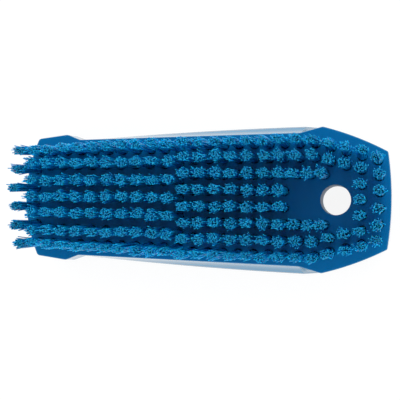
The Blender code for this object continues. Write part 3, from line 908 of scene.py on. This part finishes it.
def tuft_rows():
    rows = {"toe_row": cross_row(FIRST_COLUMN_X - TOE_ROW_AHEAD, ROW_BULGE,
                                 TOE_HALF_WIDTH - TOE_ROW_FROM_CORNER, TOE_TUFTS, -TOE_REACH)}
    for number in range(FRONT_ROWS):
        rows[f"front_row_{number + 1}"] = front_row(OUTER_RANK - number)
    for number in range(FRONT_ROWS + 1):
        rows[f"rear_row_{number + 1}"] = rear_row(FRONT_ROWS / 2 - number)
    rows["heel_inner_row"] = cross_row(column_x(HEEL_INNER_COLUMN), 0,
                                       HEEL_HALF_WIDTH - HEEL_INNER_FROM_CORNER, HEEL_INNER_TUFTS, 0)
    rows["heel_outer_row"] = cross_row(LAST_COLUMN_X + HEEL_ROW_BULGE, -HEEL_ROW_BULGE,
                                       HEEL_HALF_WIDTH - HEEL_OUTER_FROM_CORNER, HEEL_OUTER_TUFTS, 0)
    for name, bends in BENT_TIPS.items():
        tufts = rows[name]
        for index, (root, reach) in enumerate(tufts):
            tufts[index] = (root, reach + bend_at(bends, index / (len(tufts) - 1)))
    return rows


def root_points(name, tufts, first_tuft):
    """A mesh of loose points, one at each tuft's root, with what the tufts need to grow."""
    mesh = bpy.data.meshes.new(name)
    mesh.from_pydata([(root.x, root.y, FACE_Z) for root, _ in tufts], [], [])
    for label, kind in (("tuft", "INT"), ("reach", "FLOAT_VECTOR"), ("heading", "FLOAT")):
        mesh.attributes.new(label, kind, "POINT")
    # A new attribute moves the others, so each is looked up again once all are there
    numbers, reaches, headings = (mesh.attributes[label].data for label in ("tuft", "reach", "heading"))
    roots = [root for root, _ in tufts]
    for index, (root, reach) in enumerate(tufts):
        before = roots[max(index - 1, 0)]
        after = roots[min(index + 1, len(roots) - 1)]
        along = after - before
        numbers[index].value = first_tuft + index
        reaches[index].vector = (reach.x, reach.y, 0)
        headings[index].value = math.atan2(along.y, along.x)
    return link_object(name, mesh)


def bristle_tree():
    """Grows a tuft of filaments on every point: a tight bundle at the staple that opens to its tip."""
    graph, inputs, outputs = new_group(
        "bristle_row", "GeometryNodeTree",
        [("Roots", "NodeSocketGeometry", None), ("Filaments", "NodeSocketInt", 36),
         ("Points", "NodeSocketInt", 9), ("Filament Radius", "NodeSocketFloat", 0.00025),
         ("Root Height", "NodeSocketFloat", 0.017), ("Mouth Height", "NodeSocketFloat", 0.020),
         ("Tip Height", "NodeSocketFloat", 0.047), ("Root Spread", "NodeSocketFloat", 0.0012),
         ("Mouth Spread", "NodeSocketFloat", 0.00175), ("Tip Spread", "NodeSocketFloat", 0.0024),
         ("Stray Spread", "NodeSocketFloat", 0.0016), ("Unevenness", "NodeSocketFloat", 0.0009),
         ("Worn Spread", "NodeSocketFloat", 0.0), ("Worn Unevenness", "NodeSocketFloat", 0.0),
         ("Worn Droop", "NodeSocketFloat", 0.0), ("Shade Factor", "NodeSocketFloat", 1.0),
         ("Seed", "NodeSocketInt", 0), ("Material", "NodeSocketMaterial", None)],
        [("Filaments", "NodeSocketGeometry")])
    tuft = graph.read("tuft", "INT")
    reach = graph.read("reach", "FLOAT_VECTOR")
    cloud = graph.add("GeometryNodeMeshToPoints", {"Mesh": inputs["Roots"]}).outputs[0]
    amount = graph.math("MULTIPLY", inputs["Filaments"], inputs["Points"])
    copies = graph.add("GeometryNodeDuplicateElements", {"Geometry": cloud, "Amount": amount},
                       domain="POINT")
    number = copies.outputs["Duplicate Index"]
    filament = graph.math("FLOOR", graph.math("DIVIDE", number, inputs["Points"]))
    along = graph.math("FLOORED_MODULO", number, inputs["Points"])
    identity = graph.math("MULTIPLY_ADD", tuft, inputs["Filaments"], filament)

    def drawn(low, high, owner, draw):
        return graph.random(low, high, owner, graph.math("ADD", inputs["Seed"], DRAWS.index(draw) + 1))

    def per_tuft(low, high, draw):
        return drawn(low, high, tuft, draw)

    def per_filament(low, high, draw):
        return drawn(low, high, identity, draw)

    # A filament's first point lies at its staple, the second at the mouth of its hole
    above = graph.math("SUBTRACT", along, 1.0)
    climb = graph.math("DIVIDE", above, graph.math("SUBTRACT", inputs["Points"], 2.0), clamp=True)
    below = graph.math("LESS_THAN", above, 0.0)

    # Place in the bundle
    spin = graph.math("MULTIPLY_ADD", filament, GOLDEN_ANGLE, per_tuft(0.0, math.tau, "tuft spin"))
    spin = graph.math("ADD", spin, per_filament(-SPIN_JITTER, SPIN_JITTER, "spin"))
    share = graph.math("ADD", filament, per_filament(0.0, 1.0, "share"))
    share = graph.math("DIVIDE", share, inputs["Filaments"])
    hollow = graph.math("MAXIMUM", per_tuft(*HOLLOW_RANGE, "hollow"), 0.0)
    filled = graph.math("SUBTRACT", 1.0, hollow)
    radius = graph.math("SQRT", graph.math("MULTIPLY_ADD", filled, share, hollow))
    stretch = per_tuft(0.0, WIDEST_STRETCH, "stretch")
    across = graph.combine(
        graph.product(graph.math("COSINE", spin), radius, graph.math("ADD", 1.0, stretch)),
        graph.product(graph.math("SINE", spin), radius, graph.math("SUBTRACT", 1.0, stretch)))
    opening = graph.math("POWER", climb, OPENING_POWER)
    widening = graph.math("SUBTRACT", inputs["Tip Spread"], inputs["Mouth Spread"])
    spread = graph.math("MULTIPLY_ADD", widening, opening, inputs["Mouth Spread"])
    narrowing = graph.math("SUBTRACT", inputs["Root Spread"], inputs["Mouth Spread"])
    spread = graph.math("ADD", spread, graph.product(below, narrowing))
    looseness = graph.math("POWER", per_filament(0.0, 1.0, "looseness"), LOOSENESS_POWER)
    late = graph.math("POWER", climb, LATE_POWER)
    stray = graph.product(looseness, inputs["Stray Spread"], late)
    place = graph.scaled(across, graph.math("ADD", spread, stray))

    # Lean of the whole tuft, and of each filament by itself
    tuft_lean = graph.scaled(
        graph.combine(per_tuft(-1.0, 1.0, "tuft lean x"), per_tuft(-1.0, 1.0, "tuft lean y")),
        graph.product(inputs["Mouth Spread"], TUFT_LEAN))
    lean = graph.scaled(graph.vector("ADD", reach, tuft_lean), opening)
    own_lean = graph.scaled(
        graph.combine(per_filament(-1.0, 1.0, "lean x"), per_filament(-1.0, 1.0, "lean y")),
        graph.product(inputs["Filament Radius"], late))
    worn_lean = graph.scaled(
        graph.combine(per_filament(-WORN_ALONG, WORN_ALONG, "worn x"),
                      per_filament(-WORN_ACROSS, WORN_ACROSS, "worn y")),
        graph.product(inputs["Worn Spread"], late))
    where = graph.add("GeometryNodeInputPosition").outputs[0]
    side = graph.math("SIGN", graph.add("ShaderNodeSeparateXYZ", {"Vector": where}).outputs["Y"])
    droop = graph.scaled(
        graph.combine(-1.0, graph.product(side, DROOP_ASIDE)),
        graph.product(graph.math("POWER", climb, DROOP_POWER), per_filament(0.0, 1.0, "droop"),
                      inputs["Worn Droop"]))

    # Crimp: a shallow wave, each filament's to a side of its own
    phase = per_filament(0.0, math.tau, "crimp phase")
    wave = graph.math("SINE", graph.math("MULTIPLY_ADD", climb, CRIMP_TURN, phase))
    wave = graph.math("SUBTRACT", wave, graph.math("SINE", phase))
    heading = per_filament(0.0, math.tau, "crimp heading")
    bend = graph.scaled(graph.combine(graph.math("COSINE", heading), graph.math("SINE", heading)),
                        graph.product(wave, graph.product(inputs["Filament Radius"], CRIMP_DEPTH)))

    # Height
    shortness = per_filament(0.0, 1.0, "shortness")
    short = graph.product(graph.math("POWER", shortness, SHORTNESS_POWER), inputs["Unevenness"])
    short = graph.math("MULTIPLY_ADD", shortness, inputs["Worn Unevenness"], short)
    length = graph.math("SUBTRACT", inputs["Tip Height"], inputs["Mouth Height"])
    rise = graph.product(climb, graph.math("SUBTRACT", length, short))
    drop = graph.product(below, graph.math("SUBTRACT", inputs["Root Height"], inputs["Mouth Height"]))
    upward = graph.combine(0.0, 0.0, graph.math("ADD", rise, drop))

    # Filaments, each with how far up it a point is and with its tint, which for the toe row also holds
    # painted shade
    offset = graph.vector("ADD", graph.vector("ADD", place, lean), graph.vector("ADD", own_lean, bend))
    offset = graph.vector("ADD", graph.vector("ADD", offset, worn_lean), graph.vector("ADD", droop, upward))
    moved = graph.add("GeometryNodeSetPosition", {"Geometry": copies.outputs["Geometry"], "Offset": offset})
    # A random tone for each filament, times a factor that paints the toe row darker as painted shade
    tint = graph.math("POWER", per_filament(0.0, 1.0, "tint"), TINT_POWER)
    tint = graph.product(graph.math("MULTIPLY_ADD", tint, TINT_RANGE, TINT_LOW), inputs["Shade Factor"])
    stored = graph.store(graph.store(moved.outputs[0], "climb", climb), "tint", tint)
    curves = graph.add("GeometryNodePointsToCurves",
                       {"Points": stored, "Curve Group ID": identity, "Weight": along})
    sized = graph.add("GeometryNodeSetCurveRadius", {"Curve": curves.outputs[0], "Radius": 1.0})
    profile = graph.add("GeometryNodeCurvePrimitiveCircle",
                        {"Resolution": FILAMENT_SIDES, "Radius": inputs["Filament Radius"]}, mode="RADIUS")
    tube = graph.add("GeometryNodeCurveToMesh", {
        "Curve": sized.outputs[0], "Profile Curve": profile.outputs[0], "Fill Caps": True})
    spot = graph.add("ShaderNodeSeparateXYZ", {"Vector": graph.add("GeometryNodeInputPosition").outputs[0]})
    cut = graph.math("MINIMUM", spot.outputs["Z"], inputs["Tip Height"])
    level = graph.add("GeometryNodeSetPosition", {
        "Geometry": tube.outputs[0], "Position": graph.combine(spot.outputs["X"], spot.outputs["Y"], cut)})
    graph.feed(outputs["Filaments"], graph.dressed(level.outputs[0], inputs["Material"]))
    return graph.tree


def set_inputs(modifier, values):
    """Sets a Geometry Nodes modifier's inputs, which are keyed by identifier, from their names."""
    sockets = {item.name: item.identifier for item in modifier.node_group.interface.items_tree
               if item.item_type == "SOCKET" and item.in_out == "INPUT"}
    for name, value in values.items():
        modifier[sockets[name]] = value


class HANDBRUSH_OT_add_bristles(bpy.types.Operator):
    """Grows every row of bristle tufts out of the block"""

    bl_idname = "handbrush.add_bristles"
    bl_label = "Add Bristles"

    def execute(self, context):
        settings = context.scene.hand_brush.bristles
        material = bristle_filament(settings)
        tree = bristle_tree()
        first_tuft = 0
        for name, tufts in tuft_rows().items():
            worn = name in WORN_ROWS
            at_toe = name == "toe_row"
            roots = root_points("roots_" + name, tufts, first_tuft)
            first_tuft += len(tufts)
            grow = roots.modifiers.new("Grow", "NODES")
            grow.node_group = tree
            set_inputs(grow, {
                "Filaments": settings.worn_filaments if worn else settings.filaments,
                "Filament Radius": settings.filament_diameter / 2,
                "Root Height": STAPLE_HIGH.z,
                "Mouth Height": FACE_Z,
                "Tip Height": TIP_Z,
                "Root Spread": settings.root_spread,
                "Mouth Spread": settings.toe_mouth_spread if at_toe else settings.mouth_spread,
                "Tip Spread": settings.toe_tip_spread if at_toe else settings.tip_spread,
                "Stray Spread": 0.0 if worn else settings.stray_spread,
                "Unevenness": settings.tip_unevenness,
                "Worn Spread": settings.worn_spread if worn else 0.0,
                "Worn Unevenness": settings.worn_unevenness if worn else 0.0,
                "Worn Droop": settings.worn_droop if worn else 0.0,
                # Painted shade on the toe row only
                "Shade Factor": settings.toe_painted_shade if at_toe else 1.0,
                "Material": material,
            })
            piece = baked("tufts_" + name, roots)
            piece.data.shade_smooth()
            piece.data.set_sharp_from_angle(angle=FILAMENT_SMOOTH_ANGLE)
            place_piece(piece, "bristles", name)
        return {"FINISHED"}


def staple_tree():
    """Lays one staple on every point, turned into line with its row."""
    graph, inputs, outputs = new_group(
        "staple_row", "GeometryNodeTree",
        [("Roots", "NodeSocketGeometry", None), ("Staple", "NodeSocketObject", None),
         ("Drop", "NodeSocketFloat", 0.0), ("Material", "NodeSocketMaterial", None)],
        [("Staples", "NodeSocketGeometry")])
    staple = graph.add("GeometryNodeObjectInfo", {"Object": inputs["Staple"]})
    lowered = graph.add("GeometryNodeSetPosition", {
        "Geometry": inputs["Roots"], "Offset": graph.combine(0.0, 0.0, inputs["Drop"])})
    placed = graph.add("GeometryNodeInstanceOnPoints", {
        "Points": lowered.outputs[0], "Instance": staple.outputs["Geometry"],
        "Rotation": graph.combine(0.0, 0.0, graph.read("heading", "FLOAT"))})
    graph.feed(outputs["Staples"], graph.dressed(placed.outputs[0], inputs["Material"]))
    return graph.tree


def make_staple(settings):
    """One staple about its own middle: a short piece of flat wire on edge, with rounded edges."""
    bm = bmesh.new()
    size = Vector((settings.width, settings.thickness, STAPLE_HIGH.z - STAPLE_LOW.z))
    bmesh.ops.create_cube(bm, size=1, matrix=Matrix.Diagonal(size.to_4d()))
    bmesh.ops.bevel(bm, geom=list(bm.edges), offset=settings.edge_bevel, segments=2, profile=0.5,
                    affect="EDGES")
    return mesh_object("staple", bm)


class HANDBRUSH_OT_add_staples(bpy.types.Operator):
    """Lays the flat wire staples at the foot of the tufts, inside the block"""

    bl_idname = "handbrush.add_staples"
    bl_label = "Add Staples"

    def execute(self, context):
        settings = context.scene.hand_brush.staples
        material = staple_steel(settings)
        tree = staple_tree()
        staple = make_staple(settings)
        for name, tufts in tuft_rows().items():
            roots = root_points("seats_" + name, tufts, 0)
            lay = roots.modifiers.new("Lay", "NODES")
            lay.node_group = tree
            set_inputs(lay, {
                "Staple": staple,
                "Drop": (STAPLE_LOW.z + STAPLE_HIGH.z) / 2 - FACE_Z,
                "Material": material,
            })
            piece = baked("wire_" + name, roots)
            place_piece(piece, "staples", "staples_" + name)
        bpy.data.objects.remove(staple, do_unlink=True)
        return {"FINISHED"}


# Stage

def seen_rays(graph):
    """1 for the rays that show the background: those of the camera, of gloss and of glass."""
    path = graph.add("ShaderNodeLightPath")
    seen = graph.math("MAXIMUM", path.outputs["Is Camera Ray"], path.outputs["Is Glossy Ray"])
    return graph.math("MAXIMUM", seen, path.outputs["Is Transmission Ray"])


def floor_material(settings):
    """A pale floor; where it is seen it is lit up to white, and keeps part of the brush's shadow.

    It is clear from below, and under the back that rests on it, so that the back can be looked at."""
    material, graph, shader = new_material("pale_floor")
    graph.tree.nodes.remove(shader)
    plain = graph.add("ShaderNodeBsdfDiffuse", {"Color": opaque(settings.floor_colour)})
    thin = graph.add("ShaderNodeBsdfDiffuse", {"Color": opaque(FLOOR_SHADE)})
    glow = graph.add("ShaderNodeEmission", {"Color": opaque(WHITE), "Strength": FLOOR_GLOW})
    shown = graph.add("ShaderNodeAddShader", {0: thin.outputs[0], 1: glow.outputs[0]})
    mixed = graph.add("ShaderNodeMixShader", {0: seen_rays(graph), 1: plain.outputs[0], 2: shown.outputs[0]})
    ray_length = graph.add("ShaderNodeLightPath").outputs["Ray Length"]
    close = graph.math("LESS_THAN", ray_length, settings.floor_gap * FLOOR_CLEAR_GAPS)
    from_below = graph.add("ShaderNodeNewGeometry").outputs["Backfacing"]
    opened = graph.math("MAXIMUM", close, from_below)
    clear = graph.add("ShaderNodeBsdfTransparent")
    floor = graph.add("ShaderNodeMixShader", {0: opened, 1: mixed.outputs[0], 2: clear.outputs[0]})
    output = graph.tree.nodes["Material Output"]
    graph.feed(output.inputs["Surface"], floor.outputs[0])
    return material


def make_world(settings):
    """A white surround; in reflections its ceiling is dark, as over a real table."""
    world = bpy.data.worlds.new("white_surround")
    world.use_nodes = True
    bpy.context.scene.world = world
    graph = Graph(world.node_tree)
    direction = graph.add("ShaderNodeTexCoord").outputs["Generated"]
    height = graph.add("ShaderNodeSeparateXYZ", {"Vector": direction}).outputs["Z"]
    path = graph.add("ShaderNodeLightPath")
    ceiling = graph.product(graph.ramp(height, *CEILING_EDGE), path.outputs["Is Glossy Ray"])
    shown = graph.math("MULTIPLY_ADD", ceiling, settings.zenith - 1.0, 1.0)
    light = graph.math("MULTIPLY_ADD", graph.ramp(height, *OVERHEAD_EDGE),
                       settings.overhead - settings.surround, settings.surround)
    seen = seen_rays(graph)
    unseen = graph.math("SUBTRACT", 1.0, seen)
    strength = graph.math("MULTIPLY_ADD", seen, shown, graph.product(unseen, light))
    background = world.node_tree.nodes["Background"]
    graph.feed_all(background.inputs, {"Color": opaque(WHITE), "Strength": strength})


def make_camera(settings):
    """Looks down on the bristle tips, from a little towards the heel."""
    heel, side = settings.heel_tilt, settings.side_tilt
    back = Vector((math.sin(heel) * math.cos(side), math.sin(side), math.cos(heel) * math.cos(side)))
    upward = Vector((0, 1, 0))
    upward = (upward - back * upward.dot(back)).normalized()
    rightward = upward.cross(back)
    right = rightward * math.cos(settings.roll) + upward * math.sin(settings.roll)
    up = upward * math.cos(settings.roll) - rightward * math.sin(settings.roll)
    camera = link_object("camera", bpy.data.cameras.new("camera"))
    place = Matrix((right, up, back)).transposed().to_4x4()
    place.translation = Vector((*settings.aim, TIP_Z)) + back * settings.distance
    camera.matrix_world = place
    camera.data.lens = settings.focal_length
    camera.data.clip_start = settings.distance * NEAR_CLIP_SHARE
    bpy.context.scene.camera = camera


def make_key_lamp(power):
    """A square soft lamp that faces the brush and leaves no highlight of its own."""
    lamp = bpy.data.lights.new("key_lamp", "AREA")
    lamp.shape = "SQUARE"
    lamp.size = KEY_SIDE
    lamp.energy = power
    obj = link_object("key_lamp", lamp)
    obj.location = KEY_PLACE
    obj.rotation_euler = (-Vector(KEY_PLACE)).to_track_quat("-Z", "Y").to_euler()
    obj.visible_glossy = False


class HANDBRUSH_OT_set_stage(bpy.types.Operator):
    """Sets the floor, the light and the camera"""

    bl_idname = "handbrush.set_stage"
    bl_label = "Set Stage"

    def execute(self, context):
        settings = context.scene.hand_brush.stage
        context.scene.view_settings.view_transform = "Standard"
        bm = bmesh.new()
        bmesh.ops.create_grid(bm, x_segments=1, y_segments=1, size=FLOOR_HALF_SIDE)
        bmesh.ops.translate(bm, verts=bm.verts, vec=(0.0, 0.0, -settings.floor_gap))
        floor = mesh_object("floor", bm)
        floor.data.materials.append(floor_material(settings))
        make_world(settings)
        make_key_lamp(settings.key_power)
        make_camera(settings)
        return {"FINISHED"}


class HANDBRUSH_PT_panel(bpy.types.Panel):
    """Settings and builders of the hand brush"""

    bl_idname = "HANDBRUSH_PT_panel"
    bl_label = "Hand Brush"
    bl_space_type = "VIEW_3D"
    bl_region_type = "UI"
    bl_category = "Hand Brush"

    def draw(self, context):
        settings = context.scene.hand_brush
        for group, operator in ((settings.block, HANDBRUSH_OT_add_block),
                                (settings.bristles, HANDBRUSH_OT_add_bristles),
                                (settings.staples, HANDBRUSH_OT_add_staples),
                                (settings.stage, HANDBRUSH_OT_set_stage)):
            box = self.layout.box()
            for name in group.__annotations__:
                box.prop(group, name)
            box.operator(operator.bl_idname)


CLASSES = (
    BlockSettings,
    BristleSettings,
    StapleSettings,
    StageSettings,
    HandBrushSettings,
    HANDBRUSH_OT_add_block,
    HANDBRUSH_OT_add_bristles,
    HANDBRUSH_OT_add_staples,
    HANDBRUSH_OT_set_stage,
    HANDBRUSH_PT_panel,
)


def register():
    for cls in CLASSES:
        bpy.utils.register_class(cls)
    bpy.types.Scene.hand_brush = PointerProperty(type=HandBrushSettings)


def unregister():
    del bpy.types.Scene.hand_brush
    for cls in reversed(CLASSES):
        bpy.utils.unregister_class(cls)


def main():
    register()
    surface_variation_group()
    bpy.ops.handbrush.add_block()
    bpy.ops.handbrush.add_bristles()
    bpy.ops.handbrush.add_staples()
    bpy.ops.handbrush.set_stage()


if __name__ == "__main__":
    main()
